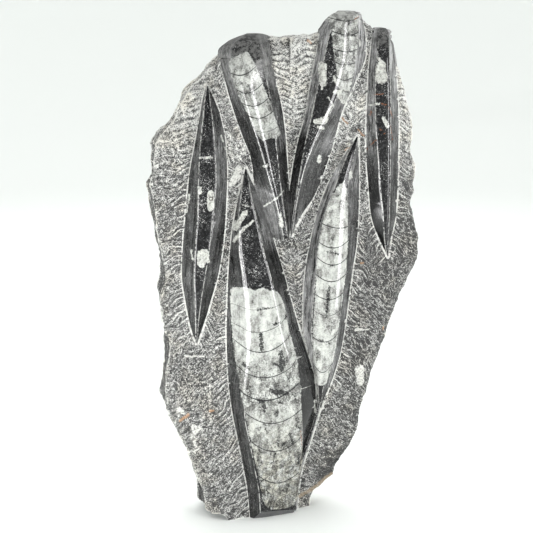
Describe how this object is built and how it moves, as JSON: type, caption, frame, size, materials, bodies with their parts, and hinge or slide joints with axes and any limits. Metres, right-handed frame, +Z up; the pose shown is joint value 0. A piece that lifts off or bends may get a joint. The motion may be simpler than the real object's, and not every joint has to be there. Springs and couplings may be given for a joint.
{
  "type": "orthoceras fossil plate",
  "caption": "Freestanding slab of dark limestone with polished straight fossil shells in relief, a display piece that stands on its sawn base.",
  "frame": {"origin": "on the sawn base, under the middle of the slab's width", "axes": "+Z up the slab, the relief faces -Y, +X to the viewer's right"},
  "size_m": [0.1924, 0.0651, 0.3575],
  "materials": {
    "dark_limestone": "chiselled and broken rough rock, with the shells ground and polished"
  },
  "bodies": {
    "root": {"fossil_plate": "dark_limestone"}
  },
  "joints": []
}
